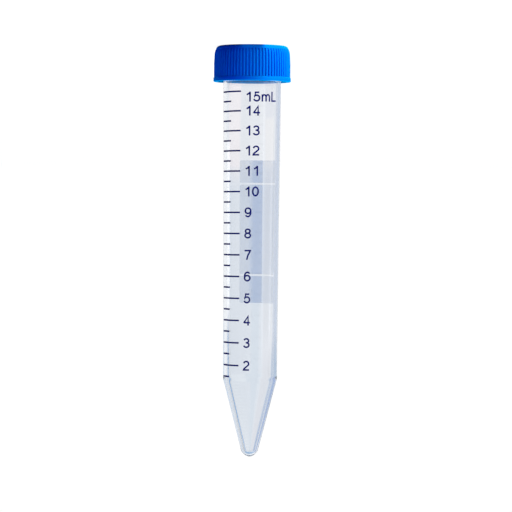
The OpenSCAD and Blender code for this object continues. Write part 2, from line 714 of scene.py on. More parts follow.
@dataclass(frozen=True)
class PrintingInk:
    """Matte printing ink, a little uneven in its cover."""

    name: str  # name of the material
    thin: Colour  # colour where the ink lies thin
    full: Colour  # colour where it lies thick
    wander: Point2 = (0.3, 0.6)  # levels of the noise between which it passes to thick
    glow_through: Colour = (0.0, 0.0, 0.0)  # colour of the light that comes through the film
    see_through: float = 0.0  # share of the light that comes through rather than back
    cover: float = 1.0  # opacity of the part that is not lit from behind
    painted_shade_strip: Point2 = (0.0, 0.0)  # limits across, along X, of a strip of painted shade, where more of the film is given to the darker light that comes through
    painted_shade_edges: Point2 = (0.2, 2.6)  # widths over which that painted shade fades in at those limits
    painted_shade: float = 0.0  # what the strip of painted shade adds to see_through
    gloss: float = 0.03  # specular level
    roughness: float = 0.45  # roughness at its smoothest
    roughness_range: float = 0.2  # how much the roughness varies
    tooth_depth: float = 0.002  # depth of the fine grain

    def build(self) -> Finish:
        """Builds the material.

        Returns:
            The material.
        """
        material, graph = new_material(self.name)
        lay = graph.noise(grain=0.5, detail=3.0)
        tooth = graph.noise(grain=0.08, detail=1.0)
        shader = graph.add("BsdfPrincipled", None, {
            "Base Color": graph.blend(lay.rise(*self.wander), self.thin, self.full),
            "Specular IOR Level": self.gloss,
            "Roughness": self.roughness + lay * self.roughness_range,
            "Alpha": self.cover,
            "Normal": graph.bump(tooth, self.tooth_depth),
        })
        if self.see_through:
            glow = {"Color": opaque(self.glow_through)}
            light = graph.add("BsdfTranslucent", None, glow)
            # a strip of painted shade along X: more of the film shows the light that comes
            # through, which darkens it
            across = graph.axes(graph.place())[0]
            (start, end), (soft_start, soft_end) = self.painted_shade_strip, self.painted_shade_edges
            strip = across.rise(*metres((start, start + soft_start)))
            strip = strip * across.rise(*metres((end, end - soft_end)))
            shader = graph.mix(strip * self.painted_shade + self.see_through, shader, light)
        graph.finish("OutputMaterial", shader)
        return material


NAVY_INK = PrintingInk("navy_print", thin=(0.0, 0.006, 0.14), full=(0.0, 0.003, 0.09))
WHITE_INK = PrintingInk(
    "white_print", thin=(0.80, 0.83, 0.88), full=(0.84, 0.87, 0.91), cover=0.06,
    # the last two values lay a darker strip of painted shade across the panel
    glow_through=(0.36, 0.50, 0.75), see_through=0.10, painted_shade_strip=(-3.7, 1.4), painted_shade=0.225,
)


# ---- the tube and its thread


@dataclass(frozen=True)
class Thread:
    """A ridge that winds round the axis, right-handed."""

    root: float  # radius that the ridge stands on, a little inside its wall
    crest: float  # radius of its crest
    start: float  # height of its middle where it begins
    turns: float = 1.75  # number of turns
    root_width: float = 1.3  # width at the root
    crest_width: float = 0.5  # width at the crest
    lead: float = 3.0  # rise in one turn
    steps_per_turn: int = 96  # columns in one turn
    run_out_deg: float = 40.0  # angle over which each end fades into the wall
    stub: float = 0.02  # share of the ridge's height that is left at its very ends

    def build(self, name: str) -> Piece:
        """Winds the ridge with a screw modifier and closes its ends.

        Args:
            name: Name of the object.

        Returns:
            The ridge as a closed solid.
        """
        wide, narrow = self.root_width / 2, self.crest_width / 2
        root, crest = self.root, self.crest
        section = [(root, -wide), (crest, -narrow), (crest, narrow), (root, wide)]
        bench = Bench.empty(name)
        bench.draw([Vector((at, 0.0, self.start + rise)) for at, rise in section], closed=True)
        ridge = bench.close()
        steps = round(self.steps_per_turn * self.turns)
        apply_modifier(
            ridge, "SCREW", axis="Z", angle=math.tau * self.turns,
            screw_offset=self.lead * self.turns * MM, steps=steps, render_steps=steps,
        )
        self._fade_ends(ridge, steps, len(section))
        bench = Bench(ridge)
        bpy.ops.mesh.fill_holes(sides=len(section))
        bench.face_outwards()
        return bench.close()

    def _fade_ends(self, ridge: Piece, steps: int, ring: int) -> None:
        """Draws the crest down to the root at both ends.

        Args:
            ridge: Wound ridge, whose points come ring after ring.
            steps: Number of steps from end to end.
            ring: Points in one ring.
        """
        run_out = self.run_out_deg / TURN * self.steps_per_turn
        depth = self.crest - self.root
        for index, point in enumerate(ridge.data.vertices):
            step = index // ring
            share = min(1.0, min(step, steps - step) / run_out)
            radius = point.co.xy.length / MM
            if abs(radius - self.root) > abs(depth) / 2:
                left = max(self.stub, math.sin(share * math.pi / 2))
                point.co.xy *= (self.root + depth * left) / radius


@dataclass(frozen=True)
class Tube:
    """The conical tube: a thin drafted barrel, a cone, a domed tip and a threaded neck.

    A field that ends in _r is a radius, in _h a height and in _t a thickness. One that ends
    in _round is the radius of a fillet, and in _bulge the radius of an arc.
    """

    lip: float  # height of the lip
    rim: float  # height of the cap's rim, where the barrel comes out of the cap
    tip: float  # height of the tip
    neck_r: float = 8.45
    neck_step: float = 0.6
    lip_round: float = 0.3
    mouth_r: float = 7.637
    mouth_round: float = 0.15
    barrel_top_r: float = 8.5
    barrel_top_round: float = 2.0
    barrel_mid_r: float = 8.115
    barrel_low_r: float = 7.9
    bore_top_r: float = 7.56
    bore_mid_r: float = 7.195
    bore_low_r: float = 6.9
    draft_break_from_tip: float = 66.0
    cone_length: float = 22.8
    bore_cone_length: float = 23.4
    shoulder_round: float = 3.5
    bore_shoulder_round: float = 2.5
    tip_r: float = 2.45
    dome_h: float = 1.7
    dome_bulge: float = 3.4
    tip_flat_r: float = 0.45
    floor_t: float = 1.1
    floor_flat_r: float = 0.3
    well_r: float = 1.61
    well_from_tip: float = 2.1
    well_bulge: float = 1.5
    columns: int = 240
    thread: Thread = Thread(root=8.3, crest=9.3, start=3.1)

    def outside(self) -> Outline:
        """Lays out one side of the wall.

        Returns:
            Its outline, from the middle of the tip to the lip.
        """
        tip = self.tip
        return Outline(
            Corner(0.0, tip),
            Corner(self.tip_flat_r, tip),
            Corner(self.tip_r, tip - self.dome_h, bulge=-self.dome_bulge),
            Corner(self.barrel_low_r, tip - self.cone_length, rounding=self.shoulder_round),
            Corner(self.barrel_mid_r, tip - self.draft_break_from_tip),
            Corner(self.barrel_top_r, self.rim, rounding=self.barrel_top_round),
            Corner(self.neck_r, self.rim - self.neck_step),
            Corner(self.neck_r, self.lip + self.lip_round),
            Corner(self.neck_r - self.lip_round, self.lip, bulge=-self.lip_round),
        )

    def inside(self) -> Outline:
        """Lays out one side of the wall.

        Returns:
            Its outline, from the lip to the middle of the floor.
        """
        tip, soft, shoulder = self.tip, self.mouth_round, self.bore_shoulder_round
        return Outline(
            Corner(self.mouth_r + soft, self.lip),
            Corner(self.mouth_r, self.lip + soft, bulge=-soft),
            Corner(self.bore_top_r, self.rim),
            Corner(self.bore_mid_r, tip - self.draft_break_from_tip),
            Corner(self.bore_low_r, tip - self.bore_cone_length, rounding=shoulder),
            Corner(self.well_r, tip - self.well_from_tip),
            Corner(self.floor_flat_r, tip - self.floor_t, bulge=self.well_bulge),
            Corner(0.0, tip - self.floor_t),
        )

    def fill_height(self, volume_ml: float) -> float:
        """Finds the height that a volume of liquid reaches with the tip down.

        Args:
            volume_ml: Volume in millilitres.

        Returns:
            Height of the liquid's surface above the cap's flat top.
        """
        left = volume_ml * ML
        line = self.inside().points()[::-1]
        for low, high in zip(line, line[1:]):
            drop = low.y - high.y
            held = math.pi * drop * (low.x**2 + low.x * high.x + high.x**2) / 3
            if drop > 0 and held >= left:
                flare = (high.x - low.x) / drop
                radius = (low.x**3 + 3 * left * flare / math.pi) ** (1 / 3)
                return low.y - (radius - low.x) / flare
            left -= held
        raise ValueError(f"the tube doesn't hold {volume_ml} ml")

    def build(self, finish: Finish) -> Piece:
        """Turns the wall, fuses its thread and dresses it.

        Args:
            finish: The clear plastic.

        Returns:
            The tube.
        """
        wall = self.outside().points() + self.inside().points()
        bench = Bench.empty("clear_tube")
        bench.draw([Vector((spot.x, 0.0, spot.y)) for spot in wall])
        bench.take_all()
        bench.spin(self.columns, math.tau)
        bench.weld()
        piece = bench.close()
        fuse(piece, self.thread.build("neck_thread"))
        return deliver(piece, finish, Body.TUBE, Slot.CLEAR, crease_deg=25.0, replaces="tube")


# ---- the cap


@dataclass(frozen=True)
class ScrewCap:
    """The screw cap: a ribbed skirt with a smooth shoulder, a rim band and a plug seal.

    Its fields are named as the tube's are.
    """

    NEAR = 1e-3  # places closer than this are one place

    height: float  # height of the cap
    rim_r: float  # radius of the rim band
    top_flat_r: float = 9.6
    shoulder_h: float = 1.15
    shoulder_bulge: float = 1.25
    shoulder_draws_in: float = 0.53
    crest_r: float = 11.15
    # how the crests rise out of the shoulder: distances inside crest_r, and below the shoulder
    crest_rise: tuple[Point2, ...] = ((0.45, 0.0), (0.32, 0.3), (0.15, 1.05), (0.0, 4.0))
    rim_h: float = 1.3
    rim_round: float = 0.22
    rim_step: Point2 = (0.04, 0.12)  # the corner at its foot: distances inside rim_r, and below
    rim_step_round: float = 0.05
    rim_draft_h: float = 0.25
    rib_count: int = 72
    rib_width: float = 0.63
    rib_depth: float = 0.42
    rib_round: float = 0.24
    plate_t: float = 1.3
    bore_r: float = 9.75
    bore_lead_in: float = 0.4
    bevel: float = 0.3
    plug_r: float = 7.557
    plug_wall: float = 0.9
    plug_h: float = 2.6
    plug_lead_in: float = 1.2
    gate_r: float = 1.3
    gate_h: float = 0.3
    gate_draft: float = 0.2
    gate_nub_r: float = 0.5
    gate_nub_draft: float = 0.05
    thread: Thread = Thread(root=9.9, crest=8.8, start=4.4, turns=1.5)

    @property
    def rim_z(self) -> float:
        """Height at which the rim band begins."""
        return self.height - self.rim_h

    @property
    def pitch(self) -> float:
        """Angle from one rib to the next."""
        return math.tau / self.rib_count

    @property
    def groove(self) -> float:
        """Angle of one groove, between the flanks of two ribs."""
        return self.pitch - self.rib_width / self.crest_r

    @property
    def sunk(self) -> float:
        """Radius of a groove's floor, as a share of the crest's."""
        return 1 - self.rib_depth / self.crest_r

    def outline(self) -> Outline:
        """Lays out the section between two ribs' flanks.

        Returns:
            Its outline, from the middle of the top to the middle of the plate.
        """
        crest, top, rim, plate, bevel = (
            self.crest_r, self.shoulder_h, self.rim_z, self.plate_t, self.bevel,
        )
        step_in, step_down = self.rim_step
        plug_end = plate + self.plug_h
        plug_in = self.plug_r - self.plug_wall
        return Outline(
            # the flat top with its gate recess
            Corner(0.0, self.gate_h / 2),
            Corner(self.gate_nub_r - self.gate_nub_draft, self.gate_h / 2),
            Corner(self.gate_nub_r, self.gate_h),
            Corner(self.gate_r - self.gate_draft, self.gate_h),
            Corner(self.gate_r, 0.0),
            Corner(self.top_flat_r, 0.0),
            # the shoulder, and the crests that rise out of it
            Corner(crest - self.shoulder_draws_in, top, bulge=self.shoulder_bulge),
            *(Corner(crest - inset, top + drop) for inset, drop in self.crest_rise),
            Corner(crest, rim),
            # the rim band
            Corner(self.rim_r - step_in, rim + step_down, rounding=self.rim_step_round),
            Corner(self.rim_r, rim + self.rim_draft_h),
            Corner(self.rim_r, self.height - self.rim_round),
            Corner(self.rim_r - self.rim_round, self.height, bulge=self.rim_round),
            # the bore of the skirt
            Corner(self.bore_r + bevel, self.height),
            Corner(self.bore_r, self.height - self.bore_lead_in),
            Corner(self.bore_r, plate + bevel),
            Corner(self.bore_r - bevel, plate),
            # the plug ring
            Corner(self.plug_r, plate),
            Corner(self.plug_r, plug_end - self.plug_lead_in),
            Corner(self.plug_r - bevel, plug_end - bevel / 2),
            Corner(self.plug_r - 1.5 * bevel, plug_end),
            Corner(plug_in + bevel / 2, plug_end),
            Corner(plug_in, plug_end - bevel),
            Corner(plug_in, plate),
            Corner(0.0, plate),
        )

    def build(self, finish: Finish) -> Piece:
        """Models one rib's share of the cap, repeats it round the axis and dresses it.

        Args:
            finish: The blue plastic.

        Returns:
            The cap.
        """
        bench = Bench.empty("blue_screw_cap")
        self._turn_share(bench)
        self._sink_groove(bench)
        self._round_flanks(bench)
        bench.take_all()
        bench.spin(self.rib_count - 1, math.tau - self.pitch, copies=True)
        bench.weld()
        piece = bench.close()
        fuse(piece, self.thread.build("cap_thread"))
        return deliver(piece, finish, Body.CAP, Slot.BLUE, crease_deg=32.0, replaces="screw_cap")

    def _turn_share(self, bench: Bench) -> None:
        """Turns the section through one pitch, as half a rib, a groove and half a rib.

        Args:
            bench: Bench of the cap.
        """
        half_rib = (self.pitch - self.groove) / 2
        turned = Matrix.Rotation(self.pitch / 2, 3, "Z")
        line = self.outline().points()
        bench.draw([turned @ Vector((spot.x, 0.0, spot.y)) for spot in line])
        bench.take_all()
        for angle in (half_rib, self.groove, half_rib):
            bench.spin(1, angle)

    def _sink_groove(self, bench: Bench) -> None:
        """Pushes the middle of the ribbed band inwards.

        Args:
            bench: Bench of the cap.
        """

        def in_groove(face: bmesh.types.BMFace) -> bool:
            """Tells whether a face lies between two ribs.

            Args:
                face: The face.

            Returns:
                Whether it does.
            """
            middle = face.calc_center_median()
            ribbed = self.shoulder_h < middle.z / MM < self.rim_z
            outer = middle.xy.length / MM > self.bore_r + self.bevel
            return ribbed and outer and self._angle(middle) < self.groove / 4

        bench.pick(Pick.FACES, in_groove)
        bpy.ops.mesh.extrude_region()
        bpy.ops.transform.resize(value=(self.sunk, self.sunk, 1), center_override=(0, 0, 0))

    def _round_flanks(self, bench: Bench) -> None:
        """Rounds the edges along the ribs' crests.

        Args:
            bench: Bench of the cap.
        """
        near, shoulder_r = self.NEAR, self.crest_r - self.shoulder_draws_in
        floor = [Vector((at.x * self.sunk, at.y)) for at in self.outline().points()]

        def on_crest(spot: Vector) -> bool:
            """Tells whether a point lies where a crest meets a flank.

            Args:
                spot: The point.

            Returns:
                Whether it does.
            """
            at = Vector((spot.xy.length, spot.z)) / MM
            ribbed = self.shoulder_h - near < at.y < self.rim_z + near
            flank = abs(self._angle(spot) - self.groove / 2) * at.x < near
            raised = at.x > shoulder_r + near and all((at - low).length > near for low in floor)
            return ribbed and flank and raised

        def along_crest(edge: bmesh.types.BMEdge) -> bool:
            """Tells whether an edge runs along a crest's flank."""
            first, second = (end.co for end in edge.verts)
            return first.y * second.y > 0 and on_crest(first) and on_crest(second)

        bench.pick(Pick.EDGES, along_crest)
        bpy.ops.mesh.bevel(
            offset=self.rib_round * MM, offset_type="OFFSET", segments=3, profile=0.5,
            affect="EDGES", clamp_overlap=False,
        )

    @staticmethod
    def _angle(spot: Vector) -> float:
        """Gives the angle of a place from the middle of the groove that is modelled."""
        return abs(math.atan2(spot.y, spot.x))


# ---- the prints


@dataclass(frozen=True)
class Bow:
    """An elliptic stretch of a drawn line, in shares of a numeral's width and height."""

    STEP_DEG = 18  # angle of one short line

    middle: Point2  # centre
    reach: Point2  # half width and half height
    start: float = 0  # first angle in degrees, anticlockwise from the right
    end: float = TURN  # last angle; the line runs clockwise where it is smaller

    def points(self) -> list[Point2]:
        """Divides the bow into short lines.

        Returns:
            The ends of those lines.
        """
        (x, y), (wide, high), sweep = self.middle, self.reach, self.end - self.start
        steps = max(2, round(abs(sweep) / self.STEP_DEG))
        angles = [math.radians(self.start + sweep * step / steps) for step in range(steps + 1)]
        return [(x + wide * math.cos(a), y + high * math.sin(a)) for a in angles]


def half_turn(strokes: tuple) -> tuple:
    """Turns a numeral upside down.

    Args:
        strokes: Its strokes.

    Returns:
        The strokes turned by 180 degrees.
    """

    def turned(part: Bow | Point2) -> Bow | Point2:
        """Turns a bow or a point.

        Args:
            part: The bow or point.

        Returns:
            The same, turned.
        """
        if isinstance(part, Bow):
            start, end = (angle + TURN / 2 for angle in (part.start, part.end))
            return Bow(turned(part.middle), part.reach, start, end)
        return 1 - part[0], 1 - part[1]

    return tuple(tuple(turned(part) for part in stroke) for stroke in strokes)


SIX = (
    (Bow((0.5, 0.315), (0.5, 0.315)),),
    (Bow((0.53, 0.53), (0.53, 0.47), 42, 180), (0.0, 0.315)),
)

# Each glyph is a tuple of strokes, and each stroke a tuple of points and bows.
GLYPHS: dict[str, tuple] = {
    "0": ((Bow((0.5, 0.5), (0.5, 0.5)),),),
    "1": (((0.79, -0.08), (0.79, 1.08)), ((0.74, 0.99), (0.56, 0.85), (0.2, 0.73))),
    "2": ((Bow((0.5, 0.72), (0.47, 0.28), 168, -32), (0.07, 0.13), (0.0, 0.0), (1.05, 0.0)),),
    "3": (
        (Bow((0.48, 0.765), (0.43, 0.235), 165, -90), (0.36, 0.53)),
        (Bow((0.48, 0.265), (0.5, 0.265), 90, -165),),
    ),
    "4": (((0.76, -0.08), (0.76, 1.0), (0.02, 0.3), (0.1, 0.26), (1.12, 0.26)),),
    "5": (((0.93, 1.0), (0.24, 1.0), (0.1, 0.5), Bow((0.47, 0.335), (0.52, 0.335), 138, -160)),),
    "6": SIX,
    "7": (((-0.04, 1.0), (1.0, 1.0), (0.9, 0.83), (0.56, 0.42), (0.36, -0.08)),),
    "8": ((Bow((0.5, 0.765), (0.42, 0.235)),), (Bow((0.5, 0.265), (0.5, 0.265)),)),
    "9": half_turn(SIX),
    "m": (
        ((0.0, -0.08), (0.0, 0.76)),
        ((0.0, 0.44), Bow((0.36, 0.44), (0.36, 0.28), 180, 0), (0.72, -0.08)),
        ((0.72, 0.44), Bow((1.08, 0.44), (0.36, 0.28), 180, 0), (1.44, -0.08)),
    ),
    "L": (((0.0, 1.08), (0.0, 0.0), (1.0, 0.0)),),
}


@dataclass
class FlatPlate:
    """Flat artwork that is rolled onto the barrel.

    It is drawn in the plane of X and Z. Across runs to the right as it is read, which is
    -X, and down runs towards the tip, which is +Z.
    """

    name: str  # name of the finished print
    side: Side  # side of the barrel that it is rolled onto
    roll_r: float  # radius that widths are laid out for
    film: float = 0.03  # thickness of the ink
    # height of its inner face over the wall; below 0 it has no gap to the wall
    lift: float = -0.01
    skew: float = 0.0135  # rise of the print for each millimetre to the right
    strip: float = 0.4  # width of the strips that it is cut into before it is rolled
    band: float = 6.0  # height of the bands that it is cut into as well
    sharpest: float = 0.5  # cosine of half a turn of a line at which its mitre stops growing
    parts: list[Piece] = field(default_factory=list)

    def line(self, points: Sequence[Point2], width: float) -> None:
        """Draws one line as a ribbon of constant width.

        Args:
            points: Places along its middle, across and down.
            width: Width of the ribbon.
        """
        ring = math.dist(points[0], points[-1]) < WELD
        spots = [Vector(point) for point in (points[:-1] if ring else points)]
        edges = [self._offset(spots, reach, ring) for reach in (-width / 2, width / 2)]
        bench = Bench.empty("ribbon")
        for edge in edges:
            skewed = [Vector((-spot.x, 0.0, spot.y - self.skew * spot.x)) for spot in edge]
            bench.draw(skewed, closed=ring)
        bench.take_all()
        bpy.ops.mesh.bridge_edge_loops()
        self.parts.append(bench.close())

    def block(self, left: float, right: float, high: float, low: float, corner: float) -> None:
        """Lays a solid field with rounded corners.

        Args:
            left: Left side, across.
            right: Right side, across.
            high: Upper side as it is read.
            low: Lower side.
            corner: Radius of its corners.
        """
        bench = Bench.empty("field")
        at = Vector((-(left + right) / 2, 0.0, (high + low) / 2)) * MM
        bpy.ops.mesh.primitive_plane_add(size=MM, location=at, rotation=(math.pi / 2, 0, 0))
        bpy.ops.transform.resize(value=(right - left, 1, low - high), center_override=at)
        bpy.ops.mesh.bevel(offset=corner * MM, segments=5, affect="VERTICES")
        self.parts.append(bench.close())

    def _offset(self, spots: list[Vector], reach: float, ring: bool) -> list[Vector]:
        """Moves a line sideways, with mitred corners.

        Args:
            spots: Points of the line.
            reach: Distance, to the left of the line where positive.
            ring: Whether the line is closed.

        Returns:
            As many points as there were.
        """
        moved = []
        last = len(spots) - 1
        for index, spot in enumerate(spots):
            before = spots[index - 1] if index or ring else spot
            after = spots[(index + 1) % len(spots)] if index < last or ring else spot
            behind = (spot - before).normalized()
            ahead = (after - spot).normalized()
            mid = (ahead + behind).normalized()
            mitre = 1 / max(self.sharpest, mid.dot(ahead) or mid.dot(behind))
            moved.append(spot + Vector((-mid.y, mid.x)) * reach * mitre)
        return moved

    def roll(self, barrel: Piece, finish: Finish, slot: Slot) -> None:
        """Cuts the artwork into strips, rolls it onto the barrel and gives it its thickness.

        Args:
            barrel: The tube.
            finish: The ink.
            slot: Slot of the ink.
        """
        piece = self._joined()
        self._cut(piece, Vector((1, 0, 0)), self.strip)
        self._cut(piece, Vector((0, 0, 1)), self.band)
        places = [point.co.x for point in piece.data.vertices]
        turn = (max(places) - min(places)) / (self.roll_r * MM)
        apply_modifier(piece, "SIMPLE_DEFORM", deform_method="BEND", deform_axis="Z", angle=turn)
        bench = Bench(piece)
        bpy.ops.transform.translate(value=(0, -self.roll_r * MM, 0))
        bpy.ops.transform.rotate(
            value=self.side.value, orient_axis="Z", center_override=(0, 0, 0),
        )
        bench.close()
        apply_modifier(
            piece, "SHRINKWRAP", target=barrel, wrap_method="NEAREST_SURFACEPOINT",
            wrap_mode="ABOVE_SURFACE", offset=self.lift * MM,
        )
        apply_modifier(piece, "SOLIDIFY", thickness=self.film * MM, offset=1.0)
        deliver(piece, finish, Body.TUBE, slot, crease_deg=40.0)

    def _joined(self) -> Piece:
        """Joins the parts and faces them all towards the reader.

        Returns:
            The artwork as one object.
        """
        focus(*self.parts)
        if len(self.parts) > 1:
            bpy.ops.object.join()
        piece = bpy.context.object
        piece.name = piece.data.name = self.name
        bench = Bench(piece)
        bench.pick(Pick.FACES, lambda face: face.normal.y > 0)
        bpy.ops.mesh.flip_normals()
        return bench.close()

    @staticmethod
    def _cut(piece: Piece, axis: Vector, spacing: float) -> None:
        """Cuts flat artwork by evenly spaced planes.

        Args:
            piece: The artwork.
            axis: Axis that the planes stand square to.
            spacing: Distance from plane to plane.
        """
        places = [point.co.dot(axis) / MM for point in piece.data.vertices]
        margin = 0.01  # share of the spacing that the planes keep from both ends
        first = math.ceil(min(places) / spacing + margin)
        last = math.floor(max(places) / spacing - margin)
        bench = Bench(piece)
        for step in range(first, last + 1):
            bench.take_all()
            bpy.ops.mesh.bisect(plane_co=axis * step * spacing * MM, plane_no=axis)
        bench.close()


@dataclass(frozen=True)
class Graduations:
    """Printed scale: a line each half millilitre, and a number each millilitre.

    Angles run from the middle of the front, negative to the left as it is read.
    """

    tube: Tube  # tube whose hollow sets the heights
    top_ml: float = 15.0  # volume at the highest line
    bottom_ml: float = 1.5  # volume at the lowest line
    left_deg: float = -77.0  # left end of every line
    # right end of a whole millilitre's line, at the top and at the bottom
    long_deg: Point2 = (-22.0, -25.0)
    short_deg: Point2 = (-45.0, -50.0)  # right end of a half millilitre's line, likewise
    number_deg: Point2 = (-12.0, -15.3)  # left side of the numbers, likewise
    line_width: float = 0.46  # width of the lines
    stroke: float = 0.455  # width of the numbers' strokes
    digit_w: float = 1.57  # width of a numeral between the middles of its strokes
    digit_h: float = 2.47  # height of a numeral between the middles of its strokes
    advance: float = 2.36  # distance from one numeral to the next
    wide_advance: float = 1.33  # distance from the wide letter to the next, as a share of that
    one_shift: float = 0.3  # how far a number that begins with 1 moves to the left
    unit_drop: float = 1.6  # distance from the highest line to the middle of its number
    drop: float = 0.35  # distance of every line from its true height, towards the tip

    def build(self, barrel: Piece, finish: Finish) -> None:
        """Draws and rolls the lines and the numbers.

        Args:
            barrel: The tube.
            finish: The navy ink.
        """
        roll_r = self.tube.barrel_mid_r
        lines = FlatPlate("graduation_lines", Side.FRONT, roll_r)
        numbers = FlatPlate("graduation_numbers", Side.FRONT, roll_r)
        count = round((self.top_ml - self.bottom_ml) * 2)
        for step in range(count + 1):
            volume = self.top_ml - step / 2
            height = self.tube.fill_height(volume) + self.drop
            whole = volume == int(volume)
            right, left = (
                top + step / count * (bottom - top)
                for top, bottom in (self.long_deg if whole else self.short_deg, self.number_deg)
            )
            ends = (roll_r * math.radians(angle) for angle in (self.left_deg, right))
            lines.line([(across, height) for across in ends], self.line_width)
            if whole:
                self._write(numbers, volume, roll_r * math.radians(left), height)
        for plate in (lines, numbers):
            plate.roll(barrel, finish, Slot.NAVY)

    def _write(self, plate: FlatPlate, volume: float, left: float, height: float) -> None:
        """Writes the number of one line.

        Args:
            plate: Plate to write on.
            volume: Volume that the line stands for.
            left: Left side of the number, across.
            height: Height of the line that it belongs to.
        """
        highest = volume == self.top_ml
        word = f"{int(volume)}mL" if highest else f"{int(volume)}"
        bottom = height + (self.unit_drop if highest else 0.0) + self.digit_h / 2
        pen = left + self.stroke / 2 - (self.one_shift if word[0] == "1" else 0.0)
        for glyph in word:
            for stroke in GLYPHS[glyph]:
                shares: list[Point2] = []
                for part in stroke:
                    shares.extend(part.points() if isinstance(part, Bow) else [part])
                spots = [(pen + x * self.digit_w, bottom - y * self.digit_h) for x, y in shares]
                plate.line(spots, self.stroke)
            pen += self.advance * (self.wide_advance if glyph == "m" else 1.0)


@dataclass(frozen=True)
class WritingPanel:
    """White field to write on, at the back, parted by two narrow bare lines."""

    tube: Tube  # tube that it is printed on
    # its two sides, as angles from the middle of the back towards -X
    reach_deg: Point2 = (-27.0, 74.0)
    # its ends and the middles of the bare lines, as heights
    breaks: tuple[float, ...] = (33.2, 40.1, 67.1, 75.35)
    gap: float = 0.55  # width of the bare lines
    corner: float = 0.5  # radius of its corners
    lift: float = 0.01  # height of the film over the wall

    def build(self, barrel: Piece, finish: Finish) -> None:
        """Lays out and rolls the fields.

        Args:
            barrel: The tube.
            finish: The white ink.
        """
        plate = FlatPlate("writing_panel", Side.BACK, self.tube.barrel_mid_r, lift=self.lift)
        left, right = (-math.radians(angle) * plate.roll_r for angle in reversed(self.reach_deg))
        last = len(self.breaks) - 2
        for index, (high, low) in enumerate(zip(self.breaks, self.breaks[1:])):
            upper = high + (self.gap / 2 if index else 0.0)
            lower = low - (self.gap / 2 if index < last else 0.0)
            plate.block(left, right, upper, lower, self.corner)
        plate.roll(barrel, finish, Slot.WHITE)


# ---- the studio


@dataclass(frozen=True)
class Viewpoint:
    """The camera: far off, near the height of the barrel's upper part, and upside down."""

    distance: float = 650.0  # distance from the axis, towards -Y
    height: float = 40.8  # height above the floor
    aside: float = -1.51  # distance to the side, towards +X
    pitch_deg: float = 1.80  # tilt towards the tip
    # turn about the view's own axis; 180 puts the cap at the picture's top
    roll_deg: float = 180.43
    lens: float = 156.3  # focal length
    sensor: float = 36.0  # width of the sensor
    clip: Point2 = (0.01, 20.0)  # nearest and farthest distance that it shows, in metres

    def place(self) -> None:
        """Adds the camera and makes it the scene's own."""
        pitch = math.radians(self.pitch_deg)
        forwards = Vector((0.0, math.cos(pitch), math.sin(pitch)))
        rolled = Quaternion((0, 0, 1), math.radians(self.roll_deg))
        spot = Vector((self.aside, -self.distance, self.height)) * MM
        bpy.ops.object.camera_add(location=spot)
        camera = bpy.context.object
        camera.name = "camera"
        camera.rotation_mode = "QUATERNION"
        camera.rotation_quaternion = forwards.to_track_quat("-Z", "Y") @ rolled
        camera.data.sensor_width = self.sensor
        camera.data.lens = self.lens
        camera.data.clip_start, camera.data.clip_end = self.clip
        bpy.context.scene.camera = camera


@dataclass(frozen=True)
class Softbox:
    """A square soft lamp that faces the barrel's middle and shows in no reflection."""

    name: str  # name of the lamp
    place: tuple[float, float, float]  # its middle, in metres
    size: float  # side, in metres
    power: float  # power, in watts

    def hang(self, target: Vector) -> None:
        """Adds the lamp.

        Args:
            target: Point that it is turned towards, in metres.
        """
        bpy.ops.object.light_add(type="AREA", location=self.place)
        lamp = bpy.context.object
        lamp.name = self.name
        lamp.rotation_mode = "QUATERNION"
        lamp.rotation_quaternion = (target - Vector(self.place)).to_track_quat("-Z", "Y")
        lamp.data.shape = "SQUARE"
        lamp.data.size = self.size
        lamp.data.energy = self.power
        lamp.visible_glossy = lamp.visible_transmission = False


@dataclass(frozen=True)
class Card:
    """A part of the surroundings that has another colour, with soft edges.

    It lights the object and shows in its gloss and through its plastic. Angles are in
    degrees. The azimuth runs from behind the camera over +X, the far side and -X.
    """

    left: float  # azimuth of one side
    right: float  # azimuth of the other side
    colour: Colour  # its colour, where 1 is as bright as the brightest part
    low: float = -90.0  # elevation of its lower edge
    high: float = 90.0  # elevation of its upper edge
    blur: float = 4.0  # width of its soft sides
    fade: float = 1.0  # width of its soft upper and lower edges
    only: Ray | None = None  # the one kind of ray that sees it, where it isn't for all

    def mask(self, graph: Graph, azimuth: Wire, elevation: Wire) -> Wire:
        """Finds where the card is.

        Args:
            graph: Tree to add to.
            azimuth: Azimuth of a ray.
            elevation: Elevation of the ray.

        Returns:
            1 for a ray that meets the card and 0 for any other.
        """
        middle, half = (self.left + self.right) / 2, (self.right - self.left) / 2
        aside = abs((azimuth - middle + 1.5 * TURN) % TURN - TURN / 2)
        mask = aside.rise(half + self.blur / 2, half - self.blur / 2)
        for limit, edge in ((self.low, self.fade / 2), (self.high, -self.fade / 2)):
            if abs(limit) < TURN / 4:
                mask = mask * elevation.rise(limit - edge, limit + edge)
        return mask * graph.shown_to(self.only) if self.only else mask


def grey(level: float) -> Colour:
    """Gives a colour whose three parts are the same."""
    return (level, level, level)


